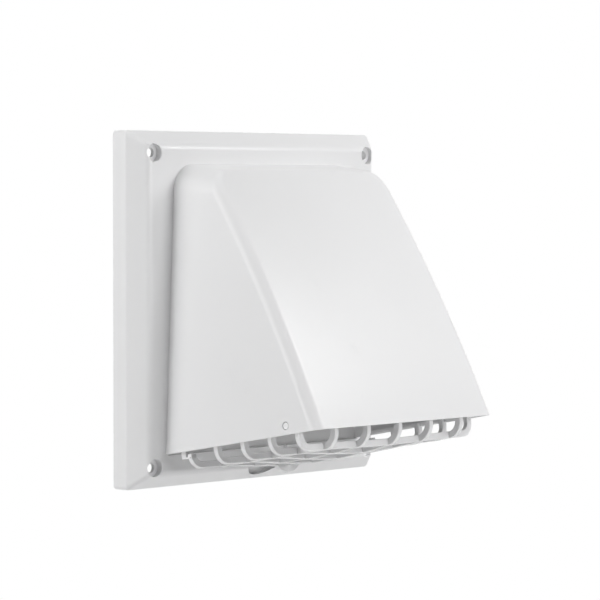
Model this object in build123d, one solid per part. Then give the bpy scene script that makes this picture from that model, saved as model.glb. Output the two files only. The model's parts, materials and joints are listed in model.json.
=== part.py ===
# Wall vent cap for a round duct: a hood moulded with its square back plate, a rear duct collar,
# a gravity damper flap and a swing-down bird guard.
# Frame: +Z up, the wall is the plane Y = 0, the hood faces -Y and the duct runs back along +Y.
# The origin is the duct's axis on the wall plane. A depth is a distance in front of the wall.
import os
from math import atan2, cos, pi, radians, sin, sqrt, tan

from build123d import *

# Back plate: a shallow pan, open at the wall, with a sloping border
plate_size = 178.0
plate_depth = 18.6
plate_side = 8.6
plate_bevel = 7.3
plate_edge_r = 2.4
wall = 1.6

# Screw holes in the corners of the plate
screw_inset = 11.0
screw_hole_d = 4.8
screw_head_d = 9.0
screw_head_depth = 3.4
screw_floor = 2.0
screw_boss_wall = 2.0

# Hood: a sloping shelf at the top, a bowed front and flat sides that lean in, set in from the plate's
# edges by a border
top_border = 16.6
shelf_depth = 24.0
shelf_fall_deg = 7.0
hood_reach = 97.9
front_bow_r = 825.0
side_border = 21.1
side_flare_deg = 2.5
side_taper_deg = 2.85
shoulder_r = 13.0
roll_r = 5.8
bottom_border = 17.3
mouth_rise_deg = 10.2

# Duct collar: a cover for the back of the hood, with a spigot for the duct
spigot_d = 99.0
spigot_wall = 2.0
spigot_reach = 30.0
spigot_lead = 1.0
cover_thick = 2.0
cover_lap = 6.0
cover_corner_r = 16.0
seat_height = 3.2
stake_d = 3.6
stake_head_d = 6.4
stake_head = 1.2
stake_rise = 36.0
stake_gap = 0.1

# Damper flap and the lugs that carry it
flap_overlap = 2.0
flap_thick = 1.6
flap_rim = 2.4
flap_gap = 0.3
hinge_rise = 4.5
hinge_lead = 1.6
hinge_rod_d = 4.4
hinge_span = 56.0
hinge_web = 44.8
hinge_pin_d = 3.0
hinge_pin_gap = 0.05
lug_thick = 2.6
lug_r = 3.6
lug_side_gap = 0.4
lug_snap = 0.8

# Bird guard: a basket of bars that hangs from two pegs in the hood's sides
guard_front = 94.0
guard_gap = 0.75
guard_drop = 9.0
bar_thick = 1.8
bar_deep = 3.4
bar_corner_r = 9.0
cross_bars = 5
cross_pitch = 18.3
cross_first = 11.6
long_bars = 5
long_pitch = 22.8
rim_thick = 1.8
rim_above = 2.2
rim_below = 1.3
rim_corner_r = 7.0
rear_step = 4.2
tab_width = 15.2
tab_drop = 6.4
peg_d = 3.3
peg_forward = 79.5
peg_rise = 4.3
peg_gap = 0.06
peg_recess = 0.1
ear_r = 3.4

# How far the rough blocks run past the finished faces
overrun = 60.0

# Worked out from the sizes above
screw_spacing = plate_size - 2 * screw_inset
hood_top = plate_size / 2 - top_border
side_half = plate_size / 2 - side_border
mouth_root = bottom_border - plate_size / 2
bevel_angle = atan2(plate_bevel, plate_depth - plate_side)
cover_front = plate_depth - wall
seat_front = cover_front + seat_height
flap_back = seat_front + flap_gap
spigot_r = spigot_d / 2
bore_r = spigot_r - spigot_wall
flap_r = spigot_r + flap_overlap
hinge_z = flap_r + hinge_rise
hinge_depth = flap_back + flap_thick + hinge_lead
lug_x = hinge_span / 2 + lug_side_gap
mouth_slope = tan(radians(mouth_rise_deg))
flare = tan(radians(side_flare_deg))
taper = tan(radians(side_taper_deg))


# Plane that looks at the object from the front, at a depth in front of the wall
def facing(depth):
    return Plane(origin=(0, -depth, 0), x_dir=(1, 0, 0), z_dir=(0, -1, 0))


# Plane of the hood's mouth: its X is the row's X and its -Y runs forward along the slope
def mouth_plane():
    m = radians(mouth_rise_deg)
    return Plane(origin=(0, -plate_depth, mouth_root), x_dir=(1, 0, 0), z_dir=(0, sin(m), cos(m)))


# Half the hood's outside width at a height and a depth
def half_width(z, depth):
    return side_half - flare * z - taper * (depth - plate_depth)


# Solid block of the back plate, every face drawn in by the inset
def pan_form(inset, back):
    half = plate_size / 2 - inset
    side = plate_side - inset * tan(bevel_angle / 2)
    flat_half = plate_size / 2 - plate_bevel - inset * tan((pi / 2 - bevel_angle) / 2)
    base = facing(back) * Rectangle(2 * half, 2 * half)
    edge = facing(side) * Rectangle(2 * half, 2 * half)
    flat = facing(plate_depth - inset) * Rectangle(2 * flat_half, 2 * flat_half)
    return extrude(base, amount=side - back) + loft([edge, flat], ruled=True)


# Outline of the hood seen from the side: shelf, bowed front, open below and behind
def hood_profile():
    low = mouth_root - overrun
    fall = tan(radians(shelf_fall_deg))
    root = Vector(plate_depth, hood_top + 2 * plate_depth * fall)
    brow = Vector(-plate_depth - shelf_depth, hood_top - shelf_depth * fall)
    lip = Vector(-plate_depth - hood_reach, mouth_root + mouth_slope * hood_reach)
    chord = lip - brow
    reach = sqrt(front_bow_r**2 - chord.length**2 / 4)
    centre = (brow + lip) / 2 + chord.rotate(Axis.Z, 90).normalized() * reach
    foot = Vector(centre.X - sqrt(front_bow_r**2 - (low - centre.Y) ** 2), low)
    rear = Polyline(foot, (root.X, low), root)
    return make_face([Line(root, brow), ThreePointArc(brow, lip, foot), rear])


# Solid block of the hood, every face drawn in by the inset, down to the mouth's plane
def hood_form(inset, back):
    outline = hood_profile()
    if inset:
        outline = offset(outline, -inset, kind=Kind.INTERSECTION)
    front = plate_depth + hood_reach + overrun
    low = mouth_root - overrun
    high = hood_top + overrun
    draw_in = inset * sqrt(1 + flare**2 + taper**2)

    def section(depth):
        foot = half_width(low, depth) - draw_in
        head = half_width(high, depth) - draw_in
        corners = [(-foot, low), (foot, low), (head, high), (-head, high), (-foot, low)]
        return facing(depth) * make_face(Polyline(*corners))

    form = extrude(Plane.YZ * outline, amount=plate_size, both=True)
    form &= loft([section(back), section(front)], ruled=True)
    shelf = form.faces().sort_by(Axis.Z)[-1]
    shelf_sides = [e for e in shelf.edges() if abs(e.center().X) > side_half / 2]
    form = fillet(shelf_sides, shoulder_r - inset)
    front_face = form.faces().sort_by(Axis.Y)[0]
    roll_edges = [e for e in front_face.edges() if e.center().Z > mouth_root]
    form = fillet(roll_edges, roll_r - inset)
    above = Plane.YZ * make_face(
        Polyline(
            (0, mouth_root - mouth_slope * plate_depth),
            (-front, mouth_root + mouth_slope * (front - plate_depth)),
            (-front, high),
            (0, high),
            (0, mouth_root - mouth_slope * plate_depth),
        )
    )
    return form & extrude(above, amount=plate_size, both=True)


# The four corners of the screw pattern
def screw_places():
    return GridLocations(screw_spacing, screw_spacing, 2, 2)


# The four stakes that hold the duct collar, on the strips beside the hood's opening
def stake_places():
    reach = half_width(0, plate_depth) + cover_lap / 2
    return GridLocations(2 * reach, 2 * stake_rise, 2, 2)


# Equal discs, one at each place
def discs(places, diameter):
    return Sketch() + [place * Circle(diameter / 2) for place in places]


# Axis of the guard's pegs
def peg_bar(radius):
    place = mouth_plane() * Pos(0, -peg_forward, peg_rise)
    return place * Rot(0, 90, 0) * Cylinder(radius, 2 * plate_size)


# Back plate: the pan with its screw bosses and the stakes behind it
def make_pan():
    solid = pan_form(0, 0)
    solid = fillet(solid.edges() - solid.edges().group_by(Axis.Y)[-1], plate_edge_r)
    solid -= pan_form(wall, -wall)
    boss_depth = screw_head_depth + screw_floor
    boss = discs(screw_places(), screw_head_d + 2 * screw_boss_wall)
    bosses = extrude(facing(plate_depth - boss_depth) * boss, amount=boss_depth)
    solid += bosses & pan_form(wall / 2, 0)
    solid -= extrude(facing(0) * discs(screw_places(), screw_hole_d), amount=2 * plate_depth)
    head_seat = facing(plate_depth - screw_head_depth)
    solid -= extrude(head_seat * discs(screw_places(), screw_head_d), amount=2 * screw_head_depth)
    stake_back = cover_front - cover_thick
    shank = facing(stake_back) * discs(stake_places(), stake_d)
    solid += extrude(shank, amount=cover_thick + wall / 2)
    head = facing(stake_back - stake_head) * discs(stake_places(), stake_head_d)
    return solid + extrude(head, amount=stake_head)


# Back plate and hood, one moulding
def make_hood():
    solid = make_pan() + hood_form(0, cover_front)
    solid -= hood_form(wall, cover_front - wall)
    return solid - peg_bar(peg_d / 2 + peg_gap)


# Cover behind the hood, with the duct spigot, the damper's seat and its two hinge lugs
def make_collar():
    width = 2 * (half_width(0, plate_depth) + cover_lap)
    height = 2 * (hood_top + cover_lap / 2)
    plan = RectangleRounded(width, height, cover_corner_r)
    solid = extrude(facing(cover_front - cover_thick) * plan, amount=cover_thick)
    tube = extrude(facing(-spigot_reach) * Circle(spigot_r), amount=spigot_reach + seat_front)
    tube = chamfer(tube.edges().sort_by(Axis.Y)[-1], spigot_lead)
    solid += tube
    solid -= extrude(facing(-spigot_reach) * Circle(bore_r), amount=spigot_reach + seat_front)
    solid -= extrude(facing(0) * discs(stake_places(), stake_d + 2 * stake_gap), amount=plate_depth)
    for side in (-1, 1):
        solid += hinge_lug(side)
    return solid


# Lug with a round seat for the flap's pin, open at the front so that the pin snaps in
def hinge_lug(side):
    plane = Plane(origin=(side * lug_x, 0, 0), x_dir=(0, -1, 0), z_dir=(-1, 0, 0))
    outline = Rectangle(hinge_depth - cover_front, 2 * lug_r, align=(Align.MIN, Align.CENTER))
    outline = Pos(cover_front, hinge_z) * outline + Pos(hinge_depth, hinge_z) * Circle(lug_r)
    outline -= Pos(hinge_depth, hinge_z) * Circle(hinge_pin_d / 2 + hinge_pin_gap)
    slot = Rectangle(2 * lug_r, hinge_pin_d - lug_snap, align=(Align.MIN, Align.CENTER))
    outline -= Pos(hinge_depth, hinge_z) * slot
    return extrude(plane * outline, amount=-side * lug_thick)


# Damper flap: a rimmed disc that hangs in front of the seat from its hinge rod
def make_flap():
    solid = extrude(facing(flap_back) * Circle(flap_r), amount=flap_thick + flap_rim)
    dish = extrude(facing(flap_back + flap_thick) * Circle(flap_r - flap_thick), amount=flap_rim)
    solid -= dish
    arm = Rectangle(hinge_web, flap_r, align=(Align.CENTER, Align.MIN))
    web = extrude(facing(flap_back) * Pos(0, hinge_z - flap_r) * arm, amount=flap_thick)
    solid += web
    axis = Pos(0, -hinge_depth, hinge_z) * Rot(0, 90, 0)
    solid += axis * Cylinder(hinge_rod_d / 2, hinge_span)
    solid += axis * Cylinder(hinge_pin_d / 2, hinge_span + 2 * (lug_side_gap + lug_thick))
    return solid


# Half the guard's width, a running gap inside the hood's walls
def guard_half(forward):
    m = radians(mouth_rise_deg)
    z = mouth_root + forward * sin(m)
    depth = plate_depth + forward * cos(m)
    return half_width(z, depth) - wall * sqrt(1 + flare**2 + taper**2) - guard_gap


# Bar that crosses the mouth and curves up to the rim at both ends
def cross_bar(forward, half, top):
    low = -guard_drop
    tall = top - low
    inner_half = half - bar_deep
    corner_r = min(bar_corner_r, tall - rim_below)
    outer = Pos(0, low) * Rectangle(2 * half, tall, align=(Align.CENTER, Align.MIN))
    outer = fillet(outer.vertices().group_by(Axis.Y)[0], corner_r)
    inner = Pos(0, low + bar_deep) * Rectangle(2 * inner_half, tall, align=(Align.CENTER, Align.MIN))
    inner = fillet(inner.vertices().group_by(Axis.Y)[0], corner_r - bar_deep)
    return extrude(facing(forward - bar_thick / 2) * (outer - inner), amount=bar_thick)


# Bar that runs forward under the mouth and curves up to the rim at the front
def long_bar(x):
    low = -guard_drop
    rear = -cross_first
    front = -guard_front
    outer = Pos(rear, low) * Rectangle(rear - front, rim_above - low, align=(Align.MAX, Align.MIN))
    outer = fillet(outer.vertices().group_by(Axis.Y)[0].sort_by(Axis.X)[0], bar_corner_r)
    inner = Rectangle(rear - front - bar_deep, rim_above - low, align=(Align.MAX, Align.MIN))
    inner = Pos(rear, low + bar_deep) * inner
    inner = fillet(inner.vertices().group_by(Axis.Y)[0].sort_by(Axis.X)[0], bar_corner_r - bar_deep)
    return extrude(Plane.YZ.offset(x - bar_thick / 2) * (outer - inner), amount=bar_thick)


# Rim that runs up one side, across the front and down the other side
def rim_band(low, high):
    rear = cross_first - bar_thick / 2
    corners = [
        (-guard_half(rear), -rear),
        (guard_half(rear), -rear),
        (guard_half(guard_front), -guard_front),
        (-guard_half(guard_front), -guard_front),
    ]
    plan = make_face(Polyline(*corners, corners[0]))
    plan = fillet(plan.vertices().group_by(Axis.Y)[0], rim_corner_r)
    core = offset(plan, -rim_thick, kind=Kind.INTERSECTION)
    core += Pos(0, -rear) * Rectangle(2 * (guard_half(rear) - rim_thick), 2 * rim_thick)
    return extrude(Plane.XY.offset(low) * (plan - core), amount=high - low)


# Bird guard, one moulding, drawn in the mouth's plane and then set in the mouth
def make_guard():
    solid = rim_band(-rim_below, rim_above)
    for i in range(cross_bars):
        forward = cross_first + i * cross_pitch
        step = rear_step if i == 0 else 0
        top = -rim_below if i == 0 else rim_above
        solid += cross_bar(forward, guard_half(forward) - step, top)
    for i in range(long_bars):
        solid += long_bar((i - (long_bars - 1) / 2) * long_pitch)
    rear_half = guard_half(cross_first)
    shoulder = Rectangle(rear_step + bar_deep, 2 * rim_below, align=(Align.MAX, Align.CENTER))
    rear_face = facing(cross_first - bar_thick / 2)
    block = extrude(rear_face * Pos(rear_half, -rim_below) * shoulder, amount=bar_thick)
    solid += block + mirror(block, Plane.YZ)
    tab_r = (tab_width**2 / 4 + tab_drop**2) / (2 * tab_drop)
    tab = Pos(0, -guard_drop - tab_drop + tab_r) * Circle(tab_r)
    tab_block = Rectangle(tab_width, tab_drop + bar_deep / 2, align=(Align.CENTER, Align.MAX))
    tab &= Pos(0, -guard_drop + bar_deep / 2) * tab_block
    solid += extrude(rear_face * tab, amount=bar_thick)
    ear = Pos(-peg_forward, peg_rise) * Circle(ear_r)
    ear += Pos(-peg_forward, peg_rise) * Rectangle(2 * ear_r, peg_rise, align=(Align.CENTER, Align.MAX))
    solid += rim_band(0, peg_rise + ear_r) & extrude(Plane.YZ * ear, amount=plate_size, both=True)
    solid = mouth_plane() * solid
    inner = guard_half(peg_forward) - rim_thick / 2
    pegs = peg_bar(peg_d / 2) & hood_form(peg_recess, cover_front)
    pegs -= Box(2 * inner, 4 * plate_size, 4 * plate_size)
    return solid + pegs


def main():
    os.makedirs("parts", exist_ok=True)
    export_step(make_hood(), "parts/hood_body.step")
    export_step(make_collar(), "parts/duct_collar.step")
    export_step(make_flap(), "parts/damper_flap.step")
    export_step(make_guard(), "parts/bird_guard.step")


if __name__ == "__main__":
    main()
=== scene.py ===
import json
import math
import bmesh
import bpy
import numpy as np
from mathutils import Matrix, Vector


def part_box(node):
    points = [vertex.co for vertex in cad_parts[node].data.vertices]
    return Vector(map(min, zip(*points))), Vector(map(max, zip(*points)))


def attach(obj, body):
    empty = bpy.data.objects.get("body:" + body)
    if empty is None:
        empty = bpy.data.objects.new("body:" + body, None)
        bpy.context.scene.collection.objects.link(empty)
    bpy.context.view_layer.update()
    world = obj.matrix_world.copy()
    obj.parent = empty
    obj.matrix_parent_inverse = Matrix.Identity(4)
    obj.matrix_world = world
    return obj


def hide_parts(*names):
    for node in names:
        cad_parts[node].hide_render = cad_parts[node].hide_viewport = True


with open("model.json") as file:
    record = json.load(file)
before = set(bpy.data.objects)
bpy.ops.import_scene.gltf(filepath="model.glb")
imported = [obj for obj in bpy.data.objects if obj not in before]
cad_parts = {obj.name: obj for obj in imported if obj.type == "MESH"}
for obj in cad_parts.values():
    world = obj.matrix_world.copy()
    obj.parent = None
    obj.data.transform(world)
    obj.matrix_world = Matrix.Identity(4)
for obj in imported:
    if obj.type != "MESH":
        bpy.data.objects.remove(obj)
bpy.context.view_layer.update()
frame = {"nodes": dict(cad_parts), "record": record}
mm = 0.001
weld = 0.002 * mm  # points closer than this become one
sliver = 0.001 * mm  # edges shorter than this go
quarter = math.pi / 2
joints = {j["name"]: j for j in frame["record"]["behaviour"]["joints"]}
print("frame loaded:", len(frame["nodes"]), "nodes")

# All shapes are worked out in millimetres as (x, depth, z): depth is the distance in front of the wall.


def unit(v):  # v / |v| along the last axis
    v = np.asarray(v, float)
    return v / np.linalg.norm(v, axis=-1, keepdims=True)


def mix(a, b, t):  # a at t = 0, b at t = 1
    return a + (b - a) * t


def arcBetween(a, b, t):  # unit vectors on the great arc from a to b: (sin((1-t)w) a + sin(t w) b) / sin w
    w = np.arccos(np.clip(np.sum(a * b, axis=-1, keepdims=True), -1, 1))
    return (np.sin((1 - t) * w) * a + np.sin(t * w) * b) / np.sin(w)


def roundedPath(corners, radii, steps=8):  # straight runs joined by tangent arcs, one radius for each corner
    p = np.asarray(corners, float)
    run = [p[:1]]
    for a, c, b, r in zip(p[:-2], p[1:-1], p[2:], radii):
        u, v = unit(a - c), unit(b - c)
        half = math.acos(float(np.clip(u @ v, -1, 1))) / 2
        centre = c + unit(u + v) * r / math.sin(half)
        start, end = c + u * r / math.tan(half) - centre, c + v * r / math.tan(half) - centre
        t = np.linspace(0, 1, steps + 1)[:, None]
        run.append(centre + r * arcBetween(unit(start), unit(end), t))
    return np.concatenate(run + [p[-1:]])


def gridFaces(rows, cols, first, loop):  # quads of a grid, vertex (i, j) = first + i * cols + j
    i = np.arange(rows - 1)[:, None]
    j = np.arange(cols if loop else cols - 1)[None, :]
    k = (j + 1) % cols
    quads = np.stack([i * cols + j, i * cols + k, (i + 1) * cols + k, (i + 1) * cols + j], axis=-1)
    return (first + quads.reshape(-1, 4)).tolist()


def cleanMesh(mesh, turnOut):  # near points welded, slivers dissolved, a new shape's faces turned outwards
    bm = bmesh.new()
    bm.from_mesh(mesh)
    bmesh.ops.remove_doubles(bm, verts=bm.verts, dist=weld)
    bmesh.ops.dissolve_degenerate(bm, edges=bm.edges, dist=sliver)
    if turnOut:
        bmesh.ops.recalc_face_normals(bm, faces=bm.faces)
    bm.to_mesh(mesh)
    bm.free()


def solid(name, grids, caps=()):  # closed mesh of grids, each (points, whether its rows loop), and flat caps
    points, faces, n = [], [], 0
    for grid, loop in grids:
        faces += gridFaces(*grid.shape[:2], n, loop)
        points.append(grid.reshape(-1, 3))
        n += len(points[-1])
    for ring in caps:
        faces.append(list(range(n, n + len(ring))))
        points.append(ring)
        n += len(ring)
    mesh = bpy.data.meshes.new(name)
    mesh.from_pydata((np.concatenate(points) * [mm, -mm, mm]).tolist(), [], faces)
    cleanMesh(mesh, True)
    obj = bpy.data.objects.new(name, mesh)
    bpy.context.scene.collection.objects.link(obj)
    return obj


def combine(base, how, *tools):  # exact boolean of a base with each tool, which is used up
    for tool in tools:
        step = base.modifiers.new(how, "BOOLEAN")
        step.operation = how
        step.solver = "EXACT"
        step.object = tool
        baked = bpy.data.meshes.new_from_object(base.evaluated_get(bpy.context.evaluated_depsgraph_get()))
        base.modifiers.clear()
        base.data = baked
        bpy.data.objects.remove(tool)
    return base


def finish(obj, name, node, body, creaseDeg=28):  # smooth with creases, and put in the frame
    obj.name = name
    cleanMesh(obj.data, False)
    obj.data.shade_smooth()
    obj.data.set_sharp_from_angle(angle=math.radians(creaseDeg))
    weighted = obj.modifiers.new("weighted", "WEIGHTED_NORMAL")
    weighted.keep_sharp = True
    weighted.weight = 80  # large faces lead, so that flats stay flat
    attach(obj, body)
    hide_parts(node)
    print(name, len(obj.data.polygons), "faces")
    return obj


def lathe(profile, x=0.0, z=0.0, steps=96):  # rings of radius r at depth d about an axis along the depth
    r, d = np.asarray(profile, float).T[:, :, None]
    a = np.linspace(0, 2 * math.pi, steps, endpoint=False)[None, :]
    return np.stack([x + r * np.cos(a), d + 0 * a, z + r * np.sin(a)], axis=-1)


def slabRings(loop, low, high, edge, steps=3):  # a flat plate: its outline drawn in by an arc at both faces
    ahead, behind = np.roll(loop, -1, axis=0), np.roll(loop, 1, axis=0)
    side = unit(ahead - behind)
    inward = np.stack([-side[:, 1], side[:, 0]], axis=-1)
    turn = np.sum(loop[:, 0] * ahead[:, 1] - ahead[:, 0] * loop[:, 1])
    inward *= np.sign(turn)
    t = np.linspace(0, quarter, steps + 1)
    drawIn = edge * (1 - np.sin(t))
    rise = edge * (1 - np.cos(t))
    insets = np.concatenate([drawIn, drawIn[::-1]])
    levels = np.concatenate([low + rise, high - rise[::-1]])
    flat = loop[None] + inward[None] * insets[:, None, None]
    return np.concatenate([flat, np.broadcast_to(levels[:, None, None], flat.shape[:2] + (1,))], axis=-1)


def sweep(path, normal, section):  # a section carried along a path: point + u * side + v * normal
    ahead = np.gradient(path, axis=0)
    side = unit(np.cross(unit(ahead), normal))
    rest = np.broadcast_to(normal, path.shape)
    u, v = section[None, :, :1], section[None, :, 1:]
    return path[:, None] + u * side[:, None] + v * rest[:, None]


def roundedBox(width, height, radius, steps=4):  # outline of a rounded rectangle about the origin
    a = np.linspace(0, quarter, steps + 1)
    turns = np.arange(4)[:, None] * quarter
    sx, sz = np.array([1, -1, -1, 1])[:, None], np.array([1, 1, -1, -1])[:, None]
    px = sx * (width / 2 - radius) + radius * np.cos(a + turns)
    pz = sz * (height / 2 - radius) + radius * np.sin(a + turns)
    return np.stack([px.ravel(), pz.ravel()], axis=-1)


plateForm = dict(
    half=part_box("hood_body")[1][0] / mm, depth=18.6, side=8.6, bevel=7.3, edge=2.4, crest=5.0, wall=1.6,
    innerCorner=0.8, border=5.0, leastRound=0.5, cornerSteps=9,
)
plateDepth = plateForm["depth"]


def panSkin(inset, corner):  # side wall, bevel and flat border: a rounded profile carried round a square
    f = plateForm
    lean = math.atan2(f["bevel"], f["depth"] - f["side"])
    shoulder = f["side"] - inset * math.tan(lean / 2)
    crest = f["bevel"] + inset * math.tan((quarter - lean) / 2)
    flat = f["depth"] - inset
    corners = [(inset, 0), (inset, shoulder), (crest, flat), (crest + f["border"], flat)]
    radii = [max(f[k] - inset, f["leastRound"]) for k in ("edge", "crest")]
    q, d = roundedPath(corners, radii).T[:, :, None]
    a = np.linspace(0, quarter, f["cornerSteps"])
    turn = (np.arange(4)[:, None] * quarter + a).ravel()[None, :]
    sx = np.repeat([1, -1, -1, 1], len(a))[None, :]
    sz = np.repeat([1, 1, -1, -1], len(a))[None, :]
    half = f["half"] - q - corner
    x, z = sx * half + corner * np.cos(turn), sz * half + corner * np.sin(turn)
    return np.stack([x, d + 0 * turn, z], axis=-1)


def makePan():  # outer and inner skin, joined at the back rim and closed by the flat's two faces
    outer, inner = panSkin(0, plateForm["edge"]), panSkin(plateForm["wall"], plateForm["innerCorner"])
    rim = np.stack([outer[0], inner[0]])
    return solid("pan", [(outer, True), (inner, True), (rim, True)], [outer[-1], inner[-1]])


screwForm = dict(
    inset=11.0, hole=4.8, head=9.0, headDepth=3.4, floor=2.0, bossWall=2.0, brim=0.6, cutAhead=3.0,
    bossSteps=48, bossRings=7, brimSteps=6, cutSteps=64,
)


def screwPlaces():  # the four corners of a square inside the plate's edge
    reach = plateForm["half"] - screwForm["inset"]
    return [(sx * reach, sz * reach) for sx in (-1, 1) for sz in (-1, 1)]


def screwBoss(x, z):  # a round boss whose top follows the inside of the flat and of the two bevels
    f, s = plateForm, screwForm
    radius = s["head"] / 2 + s["bossWall"]
    back = f["depth"] - s["headDepth"] - s["floor"]
    low = lathe([(0, back), (radius, back)], x, z, s["bossSteps"])
    top = lathe([(r, 0) for r in np.linspace(radius, 0, s["bossRings"])], x, z, s["bossSteps"])
    slope = (f["depth"] - f["side"]) / f["bevel"]
    reach = np.maximum(np.abs(top[..., 0]), np.abs(top[..., 2]))
    top[..., 1] = np.minimum(f["depth"], f["side"] + slope * (f["half"] - reach)) - f["wall"] / 2
    return solid("boss", [(np.concatenate([low, top]), True)])


def screwCutter(x, z):  # through hole, head seat and a brim that is a quarter circle
    s = screwForm
    seat, ahead = plateDepth - s["headDepth"], plateDepth + s["cutAhead"]
    hole, head, wide = s["hole"] / 2, s["head"] / 2, s["head"] / 2 + s["brim"]
    t = np.linspace(0, quarter, s["brimSteps"])
    brim = np.stack([head + s["brim"] * (1 - np.cos(t)), plateDepth - s["brim"] * (1 - np.sin(t))], axis=-1)
    run = [(0, 0), (hole, 0), (hole, seat), (head, seat)] + brim.tolist() + [(wide, ahead), (0, ahead)]
    return solid("cutter", [(lathe(run, x, z, s["cutSteps"]), True)])


stakeForm = dict(
    out=3.0, rise=36.0, shank=3.6, head=6.4, headTall=1.2, rimShare=0.3, back=15.0, front=17.8,
    turnSteps=40, domeSteps=6,
)


def stake(x, z):  # a melted stake: shank and low domed head, rim + (1 - rim) cos t high, behind the plate
    s = stakeForm
    shank, head = s["shank"] / 2, s["head"] / 2
    t = np.linspace(0, quarter, s["domeSteps"])
    tall = s["headTall"] * (s["rimShare"] + (1 - s["rimShare"]) * np.cos(t))
    dome = np.stack([head * np.sin(t), s["back"] - tall], axis=-1)
    run = dome.tolist() + [(head, s["back"]), (shank, s["back"]), (shank, s["front"]), (0, s["front"])]
    return solid("stake", [(lathe(run, x, z, s["turnSteps"]), True)])


hoodForm = dict(
    topBorder=16.6, sideBorder=21.1, bottomBorder=17.3, shelf=24.0, shelfFall=7.0, reach=97.9, frontBow=825.0,
    flare=2.5, taper=2.85, shoulder=13.0, roll=5.8, mouthRise=10.2, wall=1.6, rootFillet=0.25,
    filletTurn=78.0, sunk=1.2, spaceBack=12.0, spaceFall=0.3,
)
hoodSteps = dict(side=49, shoulder=17, roll=15, fillet=6, tunnel=9, across=17, halvings=44)
hoodTop = plateForm["half"] - hoodForm["topBorder"]
sideHalf = plateForm["half"] - hoodForm["sideBorder"]
mouthRoot = hoodForm["bottomBorder"] - plateForm["half"]
mouthTilt = math.radians(hoodForm["mouthRise"])
mouthSlope = math.tan(mouthTilt)
flare, taper, shelfFall = (math.tan(math.radians(hoodForm[k])) for k in ("flare", "taper", "shelfFall"))
sideNormal = unit([1, taper, flare])
shelfNormal = unit([0, shelfFall, 1])
bowSearch = 0.35  # widest angle on the bow between the shoulder and the mouth


def frontCentre():  # centre of the front's bow, from the brow, the lip and the radius
    brow = np.array([plateDepth + hoodForm["shelf"], hoodTop - hoodForm["shelf"] * shelfFall])
    lip = np.array([plateDepth + hoodForm["reach"], mouthRoot + mouthSlope * hoodForm["reach"]])
    chord = lip - brow
    back = unit([chord[1], -chord[0]])
    return (brow + lip) / 2 + back * math.sqrt(hoodForm["frontBow"] ** 2 - chord @ chord / 4)


def halfWidth(z, depth):  # the flat side: narrower upwards by the flare and forwards by the taper
    return sideHalf - flare * z - taper * (depth - plateDepth)


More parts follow.
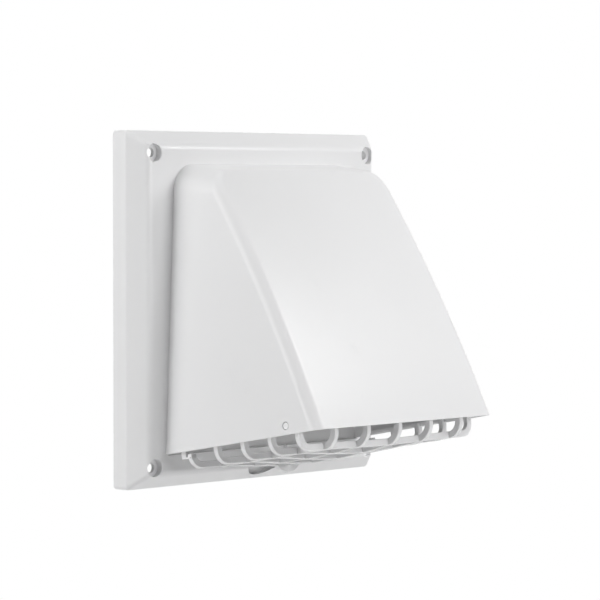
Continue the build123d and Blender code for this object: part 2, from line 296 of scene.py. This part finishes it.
# Half of the hood's skin, x > 0. The tunnel is a flat side, a shoulder cylinder and a flat shelf. A ball
# rolls between the tunnel and the bowed front and leaves the rolled edge. With c the ball's centre, its
# points are c + r * arc(tunnel normal, front normal).
def hoodSkin(inset, low, slope, back, fillet):
    bow = hoodForm["frontBow"] - inset
    shoulder = hoodForm["shoulder"] - inset
    ball = hoodForm["roll"] - inset
    front = frontCentre()
    sideLevel = sideNormal @ [sideHalf, plateDepth, 0] - inset
    shelfLevel = shelfNormal @ [0, plateDepth, hoodTop] - inset
    along = unit(np.cross(shelfNormal, sideNormal))
    along = along * np.sign(along[1])
    planes = np.array([sideNormal, shelfNormal, [0, 1, 0]])
    anchor = np.linalg.solve(planes, [sideLevel - shoulder, shelfLevel - shoulder, plateDepth])
    w = np.linspace(1, 0, hoodSteps["side"])[:-1, None]  # down the side: 1 at the mouth, 0 at the shoulder
    bend = np.linspace(0, 1, hoodSteps["shoulder"])[:, None]  # round the shoulder
    tau = np.linspace(0, 1, hoodSteps["roll"])  # across the roll
    normal = arcBetween(sideNormal[None], shelfNormal[None], bend)

    base = anchor + (shoulder - ball) * normal
    q = base[:, 1:] - front
    v = along[1:]
    b, c = q @ v, np.sum(q * q, axis=1) - (bow - ball) ** 2
    centre = base + ((-b + np.sqrt(b * b - v @ v * c)) / (v @ v))[:, None] * along
    facing = np.pad((centre[:, 1:] - front) / (bow - ball), ((0, 0), (1, 0)))
    shoulderRoll = centre[:, None] + ball * arcBetween(normal[:, None], facing[:, None], tau[None, :, None])

    def sideRoll(angle):  # points of the roll between the side and the front, at an angle on the bow
        facing = np.stack([0 * angle, np.cos(angle), np.sin(angle)], axis=-1)
        c = facing * (bow - ball) + [0, *front]
        c[..., 0] = (sideLevel - ball - c[..., 1:] @ sideNormal[1:]) / sideNormal[0]
        t = np.broadcast_to(tau, angle.shape)[..., None]
        return c + ball * arcBetween(np.broadcast_to(sideNormal, c.shape), facing, t)

    top = math.atan2(facing[0, 2], facing[0, 1])
    lowEnd, highEnd = np.full(len(tau), top - bowSearch), np.full(len(tau), top)
    for _ in range(hoodSteps["halvings"]):  # halve the range until each line ends on the mouth's plane
        middle = (lowEnd + highEnd) / 2
        p = sideRoll(middle)
        above = p[:, 2] > low + slope * (p[:, 1] - plateDepth)
        highEnd, lowEnd = np.where(above, middle, highEnd), np.where(above, lowEnd, middle)
    roll = np.concatenate([sideRoll(top + (middle - top) * w), shoulderRoll])

    overTop = arcBetween(np.eye(3)[0], np.eye(3)[2], bend)
    outward = np.concatenate([np.tile([1.0, 0, 0], (len(w), 1)), overTop])

    def tunnelAt(depth):  # outline of the tunnel at a depth
        slide = (depth - anchor[1] - shoulder * normal[:, 1]) / along[1]
        arc = anchor + slide[:, None] * along + shoulder * normal
        z = low + slope * (depth - plateDepth)
        foot = np.array([(sideLevel - sideNormal[1] * depth - sideNormal[2] * z) / sideNormal[0], depth, z])
        return np.concatenate([mix(arc[0], foot, w), arc])

    t = np.linspace(math.radians(hoodForm["filletTurn"]), 0, hoodSteps["fillet"]) if fillet else np.zeros(1)
    out = fillet * (1 - np.cos(t))
    depths = plateDepth + fillet * (1 - np.sin(t))
    root = [tunnelAt(back) + out[0] * outward] + [tunnelAt(d) + o * outward for d, o in zip(depths, out)]
    straight = mix(root[-1][:, None], roll[:, :1], np.linspace(0, 1, hoodSteps["tunnel"])[None, :, None])
    strip = np.concatenate([np.stack(root[:-1], axis=1), straight, roll[:, 1:]], axis=1)
    t = np.linspace(1, 0, hoodSteps["across"])  # from the roll to the middle of the hood
    toMiddle = np.stack([t, t * 0 + 1, t * 0 + 1], axis=-1)
    shelf = np.repeat(strip[-1:], len(t), axis=0) * toMiddle[:, None]
    face = np.repeat(strip[:, -1:], len(t), axis=1) * toMiddle[None]
    return strip, shelf, face


def hoodBlock(name, inset, low, slope, back, fillet):  # the skin and its mirror image, closed at both ends
    strip, shelf, face = hoodSkin(inset, low, slope, back, fillet)
    mirror = np.array([-1, 1, 1])
    grids = [(g * m, False) for g in (strip, shelf, face) for m in (1, mirror)]
    mouth = np.concatenate([strip[0], face[0, 1:]])
    rear = np.concatenate([strip[:, 0], shelf[1:, 0]])
    return solid(name, grids, [np.concatenate([e, (e * mirror)[-2::-1]]) for e in (mouth, rear)])


def hoodSpace():  # the hollow: the same form drawn in by the wall, its floor falling clear of the mouth
    wall = hoodForm["wall"]
    slope = mouthSlope - hoodForm["spaceFall"]
    low = mouthRoot - wall * mouthSlope + slope * wall
    return hoodBlock("space", wall, low, slope, hoodForm["spaceBack"], 0)


scoopForm = dict(
    radius=16.0, rise=0.8, floor=16.1, lean=0.46, wall=1.4, clear=0.5, reach=25.0, cutAhead=9.0,
    slim=0.2, shy=0.1, lap=1.5, arcSteps=49,
)


def scoopSolid(radius, behind, front, top):  # half moon below a level, from the leaning floor to the front
    centre = mouthRoot + scoopForm["rise"]
    spread = math.acos((centre - top) / radius)
    a = np.linspace(-spread, spread, scoopForm["arcSteps"])
    x, z = radius * np.sin(a), centre - radius * np.cos(a)
    floor = scoopForm["floor"] - behind + scoopForm["lean"] * (z - mouthRoot)
    grid = np.stack([np.stack([x, d, z], axis=-1) for d in (floor, 0 * z + front)])
    return solid("scoop", [(grid, True)], [grid[0], grid[-1]])


def bevelTrim():  # all that lies in front of the middle of the lower bevel's wall
    f, reach = plateForm, scoopForm["reach"]
    along = unit([f["depth"] - f["side"], f["bevel"]])
    out = np.array([along[1], -along[0]])
    foot = np.array([f["side"], -f["half"]]) - out * f["wall"] / 2
    sides = ((-reach, 0), (reach, 0), (reach, reach), (-reach, reach))
    loop = foot + np.array([along * t + out * w for t, w in sides])
    grid = np.stack([np.insert(loop, 0, x, axis=1) for x in (-reach, reach)])
    return solid("trim", [(grid, True)], [grid[0], grid[-1]])


def scoopWalls():  # a pocket round the scoop behind the bevel, and an upright piece from it behind the collar
    s = scoopForm
    wide = s["radius"] + s["wall"]
    top = -hoodTop - collarForm["lap"] / 2 - s["clear"]
    collarBack = coverFront - collarForm["cover"]
    pocket = scoopSolid(wide, s["wall"], plateDepth - plateForm["wall"] / 2, top)
    upright = scoopSolid(wide - s["slim"], s["wall"] - s["shy"], collarBack - s["shy"], top + s["lap"])
    return [combine(wall, "DIFFERENCE", bevelTrim()) for wall in (pocket, upright)]


pegForm = dict(size=3.3, gap=0.3, recess=0.25, brim=0.2, cutFrom=50.0, cutTo=2.0)
pegAxis = np.array(joints["guard_hinge"]["pos_m"]) * [1, -1, 1] / mm


def pegRings(radii, offsets, side, inner, steps=48):  # rings about the peg's axis, held off the hood's side
    a = np.linspace(0, 2 * math.pi, steps, endpoint=False)[None, :]
    r, off = np.array(radii)[:, None], np.array(offsets)[:, None]
    d, z = pegAxis[1] + r * np.cos(a), pegAxis[2] + r * np.sin(a)
    x = np.where(np.array(inner)[:, None], pegAxis[0] + off, halfWidth(z, d) + off)
    return np.stack([side * x, d, z], axis=-1)


def pegCutter(side):  # hole for a peg, with a small brim outside
    p = pegForm
    r, b = p["size"] / 2 + p["gap"], p["brim"]
    offsets = [p["cutFrom"], p["cutFrom"], -b, 0, p["cutTo"], p["cutTo"]]
    rings = pegRings([0, r, r, r + b, r + b, 0], offsets, side, [1, 1, 0, 0, 0, 0])
    return solid("pegHole", [(rings, True)])


def makeHood():  # pan and hood, hollowed, then the scoop, the bosses, the stakes and the holes
    body = makePan()
    block = hoodBlock("hood", 0, mouthRoot, mouthSlope, plateDepth - hoodForm["sunk"], hoodForm["rootFillet"])
    combine(body, "UNION", block)
    combine(body, "DIFFERENCE", hoodSpace())
    combine(body, "UNION", *scoopWalls())
    scoopFront, scoopTop = plateDepth + scoopForm["cutAhead"], mouthRoot - scoopForm["clear"]
    combine(body, "DIFFERENCE", scoopSolid(scoopForm["radius"], 0, scoopFront, scoopTop))
    combine(body, "UNION", *[screwBoss(x, z) for x, z in screwPlaces()])
    reach = sideHalf + stakeForm["out"]
    combine(body, "UNION", *[stake(sx * reach, sz * stakeForm["rise"]) for sx in (-1, 1) for sz in (-1, 1)])
    combine(body, "DIFFERENCE", *[screwCutter(x, z) for x, z in screwPlaces()], pegCutter(-1), pegCutter(1))
    return finish(body, "hoodShell", "hood_body", "hood")


guardForm = dict(
    front=94.0, gap=0.75, drop=9.0, bow=3.4, bowFrom=40.0, bowLong=50.0, bowWide=52.0,
    barThick=2.7, barDeep=3.4, barTop=1.9, frontCorner=9.0, sideCorner=7.4, soft=0.35,
    crossBars=5, crossPitch=17.65, crossLast=84.0, longBars=5, longPitch=23.1, longProud=0.15,
    rimThick=1.8, rimAbove=2.2, rimBase=0.3, rimCorner=7.0, rear=8.3, footLong=2.9, footDrop=3.6, ledge=0.8,
    ledgeShare=0.25, tabWidth=15.8, tabDrop=3.7, earRadius=3.4, earFoot=0.4, pegForward=79.5, pegRise=4.3,
    sectionSteps=6, runSteps=25, cornerSteps=12, tabSteps=33, earSteps=25,
)
rearBar = guardForm["crossLast"] - guardForm["crossPitch"] * (guardForm["crossBars"] - 1)
shy = guardForm["soft"] / 4  # keeps the faces of pieces that run into each other apart


def fromMouth(p):  # from the mouth's plane (x, forward, up) to the frame: a turn by its tilt about its root
    x, f, n = np.moveaxis(p, -1, 0)
    depth = plateDepth + f * math.cos(mouthTilt) - n * math.sin(mouthTilt)
    z = mouthRoot + f * math.sin(mouthTilt) + n * math.cos(mouthTilt)
    return np.stack([x, depth, z], axis=-1)


def guardHalf(forward):  # half of the guard's width: inside the hood's side wall by a gap
    z, depth = mouthRoot + forward * math.sin(mouthTilt), plateDepth + forward * math.cos(mouthTilt)
    return halfWidth(z, depth) - hoodForm["wall"] * math.sqrt(1 + flare**2 + taper**2) - guardForm["gap"]


def sag(x, forward):  # how far the floor hangs: bow (1 + cos(pi x / w)) / 2 (1 - ((f - f0) / b)^2)
    g = guardForm
    across = (1 + np.cos(math.pi * np.minimum(np.abs(x) / g["bowWide"], 1))) / 2
    ahead = 1 - ((forward - g["bowFrom"]) / g["bowLong"]) ** 2
    return g["bow"] * across * np.maximum(ahead, 0)


def bar(path, normal, wide, deep):  # a rounded bar along a flat path, wide along the path's normal
    section = roundedBox(deep, wide, guardForm["soft"], guardForm["sectionSteps"])
    return fromMouth(sweep(path, np.array(normal, float), section))


def flatRun(start, end, level):  # points of a straight run without its ends, for the sag to bend
    run = np.linspace(start, end, guardForm["runSteps"])[1:-1]
    return np.stack([run, np.full(len(run), level)], axis=-1)


def crossBar(forward, top):  # U shape from side to side
    g = guardForm
    deep, corner = g["barDeep"] / 2, g["sideCorner"]
    side, low = guardHalf(forward) - deep, -g["drop"] + deep
    corners = [(-side, top), (-side, low), (side, low), (side, top)]
    ends = roundedPath(corners, [corner - deep] * 2, g["cornerSteps"])
    middle = len(ends) // 2
    x, n = np.concatenate([ends[:middle], flatRun(corner - side, side - corner, low), ends[middle:]]).T
    path = np.stack([x, 0 * x + forward, n - sag(x, forward)], axis=-1)
    return bar(path, (0, 1, 0), g["barThick"], g["barDeep"])


def longBar(x):  # L shape from the rear bar to the front of the rim, a little proud of the cross bars
    g = guardForm
    deep = g["barDeep"] / 2
    low, ahead = -g["drop"] - g["longProud"] + deep, g["front"] - deep
    corners = [(rearBar, low), (ahead, low), (ahead, g["barTop"])]
    ends = roundedPath(corners, [g["frontCorner"] - deep], g["cornerSteps"])
    flat = flatRun(rearBar, g["front"] - g["frontCorner"], low)
    f, n = np.concatenate([ends[:1], flat, ends[1:]]).T
    path = np.stack([0 * f + x, f, n - sag(x, f)], axis=-1)
    return bar(path, (1, 0, 0), g["barThick"], g["barDeep"])


def guardRim():  # a flat bar along both sides and round the front, with two round corners
    g = guardForm
    thick = g["rimThick"] / 2
    rear, ahead = g["rear"], g["front"] - shy
    wide, narrow = (guardHalf(f) - shy - thick for f in (rear, ahead))
    corners = [(-wide, rear), (-narrow, ahead - thick), (narrow, ahead - thick), (wide, rear)]
    path = roundedPath(corners, [g["rimCorner"] - thick] * 2, g["cornerSteps"])
    level = (g["rimAbove"] + g["rimBase"]) / 2
    path = np.concatenate([path, np.full((len(path), 1), level)], axis=-1)
    return bar(path, (0, 0, 1), g["rimAbove"] - g["rimBase"], g["rimThick"])


def guardPlate(loop, low, high, order):  # a flat piece with soft edges, its axes put in the mouth's order
    return fromMouth(slabRings(loop, low, high, guardForm["soft"] / 2)[..., order])


def rearFoot(side):  # post at the rim's rear end and a ledge from it to the rear bar
    g = guardForm
    low, high = -g["footDrop"], g["rimBase"] + g["soft"]
    ahead, step = rearBar + g["barThick"] * g["ledgeShare"], low + g["ledge"]
    rear, post = g["rear"], g["rear"] + g["footLong"]
    loop = np.array([(rear, high), (rear, low), (ahead, low), (ahead, step), (post, step), (post, high)])
    near, far = sorted([side * guardHalf(rear), side * (guardHalf(rear) - g["rimThick"])])
    return guardPlate(loop, near, far, [2, 0, 1])


def pullTab():  # half moon under the middle of the rear bar, an arc from its width and drop
    g = guardForm
    half, drop = g["tabWidth"] / 2, g["tabDrop"]
    radius = (half**2 + drop**2) / (2 * drop)
    spread = math.asin(half / radius)
    a = np.linspace(-spread, spread, g["tabSteps"])
    low = -g["drop"] - sag(0, rearBar)
    arc = np.stack([radius * np.sin(a), low - drop + radius * (1 - np.cos(a))], axis=-1)
    top = low + g["barDeep"] / 2
    loop = np.concatenate([arc, [(half, top), (-half, top)]])
    thick = g["barThick"] / 2 - shy
    return guardPlate(loop, rearBar - thick, rearBar + thick, [0, 2, 1])


def ear(side):  # round ear on the rim that carries a peg
    g = guardForm
    a = np.linspace(0, math.pi, g["earSteps"])
    f, n = g["pegForward"] + g["earRadius"] * np.cos(a), g["pegRise"] + g["earRadius"] * np.sin(a)
    loop = np.concatenate([np.stack([f, n], axis=-1), [(f[-1], g["earFoot"]), (f[0], g["earFoot"])]])
    half = guardHalf(g["pegForward"])
    low, high = sorted([side * half, side * (half - g["rimThick"])])
    return guardPlate(loop, low, high, [2, 0, 1])


def peg(side):  # pin with a chamfered end, just below the hood's side
    r, b = pegForm["size"] / 2, pegForm["brim"]
    start = guardHalf(guardForm["pegForward"]) - guardForm["rimThick"] / 2
    off = -pegForm["recess"]
    return pegRings([0, r, r, r - b, 0], [start, start, off - b, off, off], side, [1, 1, 0, 0, 0])


def makeGuard():  # closed bars and plates that run into each other
    g = guardForm
    forwards = g["crossLast"] - g["crossPitch"] * np.arange(g["crossBars"] - 1)
    across = [crossBar(f, g["barTop"]) for f in forwards] + [crossBar(rearBar, g["soft"] - g["footDrop"])]
    along = [longBar(x) for x in g["longPitch"] * (np.arange(g["longBars"]) - (g["longBars"] - 1) / 2)]
    sides = [make(side) for make in (rearFoot, ear) for side in (-1, 1)]
    parts = across + along + [guardRim(), pullTab()] + sides
    ends = [ring for part in parts for ring in (part[0], part[-1])]
    body = solid("guard", [(part, True) for part in parts + [peg(-1), peg(1)]], ends)
    return finish(body, "birdGuard", "bird_guard", "guard", creaseDeg=18)


collarForm = dict(
    spigot=99.0, wall=2.0, reach=30.0, lead=1.0, cover=2.0, lap=6.0, corner=8.0, seat=3.2, lugThick=2.6,
    lugRadius=3.6, lugRoot=0.6, lugSoft=0.2, snap=0.8, pin=3.0, pinGap=0.05, sideGap=0.4, soft=0.3,
    tubeSteps=128, tubeSoftSteps=3, cornerSteps=12, hookSteps=33, lugSteps=9, lugSoftSteps=2,
)
hingeAxis = np.array(joints["damper_hinge"]["pos_m"]) * [1, -1, 1] / mm
coverFront = plateDepth - plateForm["wall"]
seatFront = coverFront + collarForm["seat"]


def spigotTube():  # tube of revolution with soft ends and a lead at the back
    c = collarForm
    outer, inner = c["spigot"] / 2, c["spigot"] / 2 - c["wall"]
    back, front = -c["reach"], seatFront
    corners = [
        (inner, 0), (inner, front), (outer, front), (outer, back + c["lead"]), (outer - c["lead"], back),
        (inner, back), (inner, 0),
    ]
    outline = roundedPath(corners, [c["soft"]] * (len(corners) - 2), c["tubeSoftSteps"])
    return solid("tube", [(lathe(outline, steps=c["tubeSteps"]), True)])


def coverPlate():  # rounded plate with a round hole that the spigot fills
    c = collarForm
    wide, tall = 2 * (halfWidth(0, plateDepth) + c["lap"]), 2 * (hoodTop + c["lap"] / 2)
    loop = roundedBox(wide, tall, c["corner"], c["cornerSteps"])
    rings = slabRings(loop, coverFront - c["cover"], coverFront, c["soft"])[..., [0, 2, 1]]
    a = np.arctan2(loop[:, 1], loop[:, 0])
    hole = (c["spigot"] - c["wall"]) / 2
    bore = np.stack([hole * np.cos(a), 0 * a, hole * np.sin(a)], axis=-1)
    first, last = bore + [0, rings[0, 0, 1], 0], bore + [0, rings[-1, 0, 1], 0]
    return solid("cover", [(np.concatenate([first[None], rings, last[None], first[None]]), True)])


def hingeLug(side):  # arm with a round seat for the pin, open to the front
    c = collarForm
    seat = c["pin"] / 2 + c["pinGap"]
    mouth = (c["pin"] - c["snap"]) / 2
    gape = math.asin(mouth / seat)
    tip = math.asin(mouth / c["lugRadius"])
    inner = np.linspace(2 * math.pi - gape, gape, c["hookSteps"])
    outer = np.linspace(tip, quarter, c["lugSteps"])
    hook = np.stack([seat * np.cos(inner), seat * np.sin(inner)], axis=-1)
    upper = c["lugRadius"] * np.stack([np.cos(outer), np.sin(outer)], axis=-1)
    root = coverFront - c["lugRoot"] - hingeAxis[1]
    arm = [(root, c["lugRadius"]), (root, -c["lugRadius"])]
    loop = np.concatenate([upper, arm, upper[::-1] * [1, -1], hook]) + hingeAxis[1:]
    inside = flapForm["span"] / 2 + c["sideGap"]
    low, high = sorted([side * inside, side * (inside + c["lugThick"])])
    grid = slabRings(loop, low, high, c["lugSoft"], c["lugSoftSteps"])[..., [2, 0, 1]]
    return solid("lug", [(grid, True)], [grid[0], grid[-1]])


def makeCollar():  # cover plate, spigot and two hinge lugs in one
    body = combine(coverPlate(), "UNION", spigotTube(), hingeLug(-1), hingeLug(1))
    return finish(body, "ductCollar", "duct_collar", "hood")


flapForm = dict(
    overlap=2.0, thick=1.6, rim=2.4, gap=0.3, rod=4.4, span=56.0, web=44.8, webLap=12.0, webCorner=0.5,
    webSoft=0.2, rodSoft=0.3, soft=0.35,
    discSteps=128, discSoftSteps=4, webSoftSteps=2, rodSteps=40, endSteps=4,
)


def hingeRod(radius, reach):  # round rod along X on the hinge's axis, with soft ends
    soft = flapForm["rodSoft"]
    t = np.linspace(0, quarter, flapForm["endSteps"])
    end = np.stack([radius - soft * (1 - np.cos(t)), reach - soft * (1 - np.sin(t))], axis=-1)
    run = np.concatenate([[(0, -reach)], (end * [1, -1])[::-1], end, [(0, reach)]])
    grid = lathe(run, steps=flapForm["rodSteps"])[..., [1, 0, 2]] + hingeAxis
    return solid("rod", [(grid, True)])


def makeFlap():  # rimmed disc of revolution, a flat web up to the hinge, and a rod with a thinner pin
    f = flapForm
    radius = collarForm["spigot"] / 2 + f["overlap"]
    inner, back = radius - f["thick"], seatFront + f["gap"]
    floor = back + f["thick"]
    lip = floor + f["rim"]
    corners = [(0, back), (radius, back), (radius, lip), (inner, lip), (inner, floor), (0, floor)]
    outline = roundedPath(corners, [f["soft"]] * (len(corners) - 2), f["discSoftSteps"])
    body = solid("disc", [(lathe(outline, steps=f["discSteps"]), True)])
    lowEdge, highEdge = radius - f["webLap"], hingeAxis[2]
    loop = roundedBox(f["web"], highEdge - lowEdge, f["webCorner"]) + [0, (highEdge + lowEdge) / 2]
    grid = slabRings(loop, back, floor, f["webSoft"], f["webSoftSteps"])[..., [0, 2, 1]]
    web = solid("web", [(grid, True)], [grid[0], grid[-1]])
    pinReach = f["span"] / 2 + collarForm["sideGap"] + collarForm["lugThick"]
    rods = [hingeRod(f["rod"] / 2, f["span"] / 2), hingeRod(collarForm["pin"] / 2, pinReach)]
    combine(body, "UNION", web, *rods)
    return finish(body, "damperFlap", "damper_flap", "damper")


hood = makeHood()
collar = makeCollar()
flap = makeFlap()
guard = makeGuard()


class Wire:  # a socket whose operators add Math nodes
    def __init__(self, tree, socket):
        self.tree = tree
        self.socket = socket

    def node(self, kind, settings=None, inputs=None, out=0):  # any node: type, settings, values or links
        made = self.tree.nodes.new(kind)
        for key, value in (settings or {}).items():
            setattr(made, key, value)
        for key, value in (inputs or {}).items():
            if isinstance(value, Wire):
                self.tree.links.new(value.socket, made.inputs[key])
            else:
                made.inputs[key].default_value = value
        return Wire(self.tree, made.outputs[out] if made.outputs else None)

    def maths(self, how, a, b):
        return self.node("ShaderNodeMath", {"operation": how}, {0: a, 1: b})

    def __add__(self, other):
        return self.maths("ADD", self, other)

    def __mul__(self, other):
        return self.maths("MULTIPLY", self, other)

    __radd__ = __add__
    __rmul__ = __mul__


def startMaterial(name):  # an empty node material and a wire to build on
    mat = bpy.data.materials.new(name)
    mat.use_nodes = True
    tree = mat.node_tree
    tree.nodes.clear()
    return mat, Wire(tree, None)


def objectPlace(w):  # Object coordinates
    return w.node("ShaderNodeTexCoord", out=3)


plasticForm = dict(
    slowScale=22.0, grainScale=2600.0, detail=2.0, grainRough=0.6, lighter=1.01, darker=0.985,
    glossBase=-0.05, glossSlow=0.08, glossGrain=0.03, bumpStrength=0.05, bumpHeight=0.0001, ior=1.46,
)


def whitePlastic(name, tone, roughness):  # moulded white plastic: fine grain, slow change of tone and gloss
    p = plasticForm
    mat, w = startMaterial(name)
    place = objectPlace(w)
    slow = w.node(
        "ShaderNodeTexNoise", inputs={"Vector": place, "Scale": p["slowScale"], "Detail": p["detail"]}
    )
    grain = w.node(
        "ShaderNodeTexNoise",
        inputs={
            "Vector": place, "Scale": p["grainScale"], "Detail": p["detail"], "Roughness": p["grainRough"],
        },
    )
    light = tuple(min(c * p["lighter"], 1.0) for c in tone) + (1,)
    dark = tuple(c * p["darker"] for c in tone) + (1,)
    colour = w.node("ShaderNodeMix", {"data_type": "RGBA"}, {0: slow, 6: dark, 7: light}, out=2)
    gloss = roughness + p["glossBase"] + p["glossSlow"] * slow + p["glossGrain"] * grain
    bump = w.node(
        "ShaderNodeBump", inputs={"Height": grain, "Strength": p["bumpStrength"], "Distance": p["bumpHeight"]}
    )
    shader = w.node(
        "ShaderNodeBsdfPrincipled",
        inputs={"Base Color": colour, "Roughness": gloss, "Normal": bump, "IOR": p["ior"]},
    )
    w.node("ShaderNodeOutputMaterial", inputs={"Surface": shader})
    return mat


satinWhite = whitePlastic("satinWhite", (0.86, 0.86, 0.865), 0.29)
# The guard's tone is lighter than the hood's: painted light that brightens the bars. Its lower roughness is a
# real gloss.
glossyPaintedLightWhite = whitePlastic("glossyPaintedLightWhite", (0.92, 0.92, 0.925), 0.2)
innerWhite = whitePlastic("innerWhite", (0.84, 0.84, 0.84), 0.5)
for piece, mat in ((hood, satinWhite), (guard, glossyPaintedLightWhite), (collar, innerWhite), (flap, innerWhite)):
    piece.data.materials.clear()
    piece.data.materials.append(mat)
print("materials done")


stageForm = dict(floor=-0.35, size=6.0, tone=0.8, fill=0.07, lift=0.7, fadeFrom=0.35, fadeTo=0.9)
pureWhite = (1, 1, 1, 1)


def seenRays(w):  # 1 for rays that show the background: camera, glossy and transmission rays
    outs = w.node("ShaderNodeLightPath").socket.node.outputs
    kinds = ("Is Camera Ray", "Is Glossy Ray", "Is Transmission Ray")
    straight, mirrored, through = (Wire(w.tree, outs[kind]) for kind in kinds)
    return w.maths("MAXIMUM", w.maths("MAXIMUM", straight, mirrored), through)


def makeFloor():  # pale floor, lifted where it is seen, that fades into the white background further out
    s = stageForm["size"] / 2
    mesh = bpy.data.meshes.new("floor")
    z = stageForm["floor"]
    mesh.from_pydata([(-s, -s, z), (s, -s, z), (s, s, z), (-s, s, z)], [], [(0, 1, 2, 3)])
    floor = bpy.data.objects.new("floor", mesh)
    bpy.context.scene.collection.objects.link(floor)
    mat, w = startMaterial("paleFloor")
    seen = seenRays(w)
    away = w.node("ShaderNodeVectorMath", {"operation": "LENGTH"}, {0: objectPlace(w)}, out=1)
    fade = w.node(
        "ShaderNodeMapRange", {"interpolation_type": "SMOOTHSTEP"},
        {"Value": away, "From Min": stageForm["fadeFrom"], "From Max": stageForm["fadeTo"]},
    )
    matte = w.node("ShaderNodeBsdfDiffuse", inputs={"Color": (stageForm["tone"],) * 3 + (1,)})
    lift = w.node("ShaderNodeEmission", inputs={"Color": pureWhite, "Strength": seen * stageForm["lift"]})
    white = w.node("ShaderNodeEmission", inputs={"Color": pureWhite, "Strength": 1.0})
    near = w.node("ShaderNodeAddShader", inputs={0: matte, 1: lift})
    both = w.node("ShaderNodeMixShader", inputs={0: seen * fade, 1: near, 2: white})
    w.node("ShaderNodeOutputMaterial", inputs={"Surface": both})
    mesh.materials.append(mat)


def makeWorld():  # white where it is seen, a weak fill on the object
    world = bpy.data.worlds.new("studio")
    bpy.context.scene.world = world
    world.use_nodes = True
    world.node_tree.nodes.clear()
    w = Wire(world.node_tree, None)
    level = stageForm["fill"] + (1 - stageForm["fill"]) * seenRays(w)
    light = w.node("ShaderNodeBackground", inputs={"Color": pureWhite, "Strength": level})
    w.node("ShaderNodeOutputWorld", inputs={"Surface": light})


lampForms = dict(
    keyLamp=dict(direction=(0.1, -0.985, 0.13), distance=1.4, wide=0.3, tall=0.3, power=5.2),
    frontLamp=dict(direction=(0.45, -0.75, 0.48), distance=1.4, wide=0.8, tall=0.8, power=3.1),
    topLamp=dict(direction=(0.1, 0.0, 1.0), distance=1.4, wide=0.9, tall=0.9, power=2.4),
    leftHighLamp=dict(direction=(-0.68, 0.12, 0.72), distance=1.4, wide=0.9, tall=0.9, power=4.4),
    leftLamp=dict(direction=(-0.85, 0.3, 0.45), distance=1.4, wide=0.9, tall=0.9, power=5.3),
    stripLamp=dict(direction=(-0.95, 0.15, 0.14), distance=1.4, wide=0.5, tall=0.8, power=4.3),
    glowLamp=dict(direction=(0.524, -0.649, 0.552), distance=0.65, wide=0.18, tall=0.18, power=0.95),
    underLamp=dict(direction=(0.2, -0.6, -0.75), distance=0.4, wide=0.3, tall=0.3, power=0.08),
)


def softbox(name, direction, distance, wide, tall, power):  # lamp that looks at the object from a direction
    lamp = bpy.data.lights.new(name, "AREA")
    lamp.shape = "RECTANGLE"
    lamp.size = wide
    lamp.size_y = tall
    lamp.energy = power
    obj = bpy.data.objects.new(name, lamp)
    way = Vector(direction).normalized()
    obj.location = way * distance
    obj.rotation_euler = way.to_track_quat("Z", "Y").to_euler()
    obj.visible_camera = False
    bpy.context.scene.collection.objects.link(obj)


viewForm = dict(spot=(-1.0794, -1.0645, 0.0586), turn=46.58, dip=2.11, lens=176.04, sensor=36.0, near=0.05)


def makeCamera():  # the photo's view: a turn about the vertical and a small dip
    eye = bpy.data.cameras.new("photoCamera")
    eye.lens = viewForm["lens"]
    eye.sensor_width = viewForm["sensor"]
    eye.clip_start = viewForm["near"]
    obj = bpy.data.objects.new("photoCamera", eye)
    obj.location = viewForm["spot"]
    obj.rotation_euler = (math.radians(90 - viewForm["dip"]), 0, -math.radians(viewForm["turn"]))
    bpy.context.scene.collection.objects.link(obj)
    bpy.context.scene.camera = obj


makeFloor()
makeWorld()
for lampName, lampForm in lampForms.items():
    softbox(lampName, **lampForm)
makeCamera()
bpy.context.scene.view_settings.view_transform = "Standard"
print("stage done")
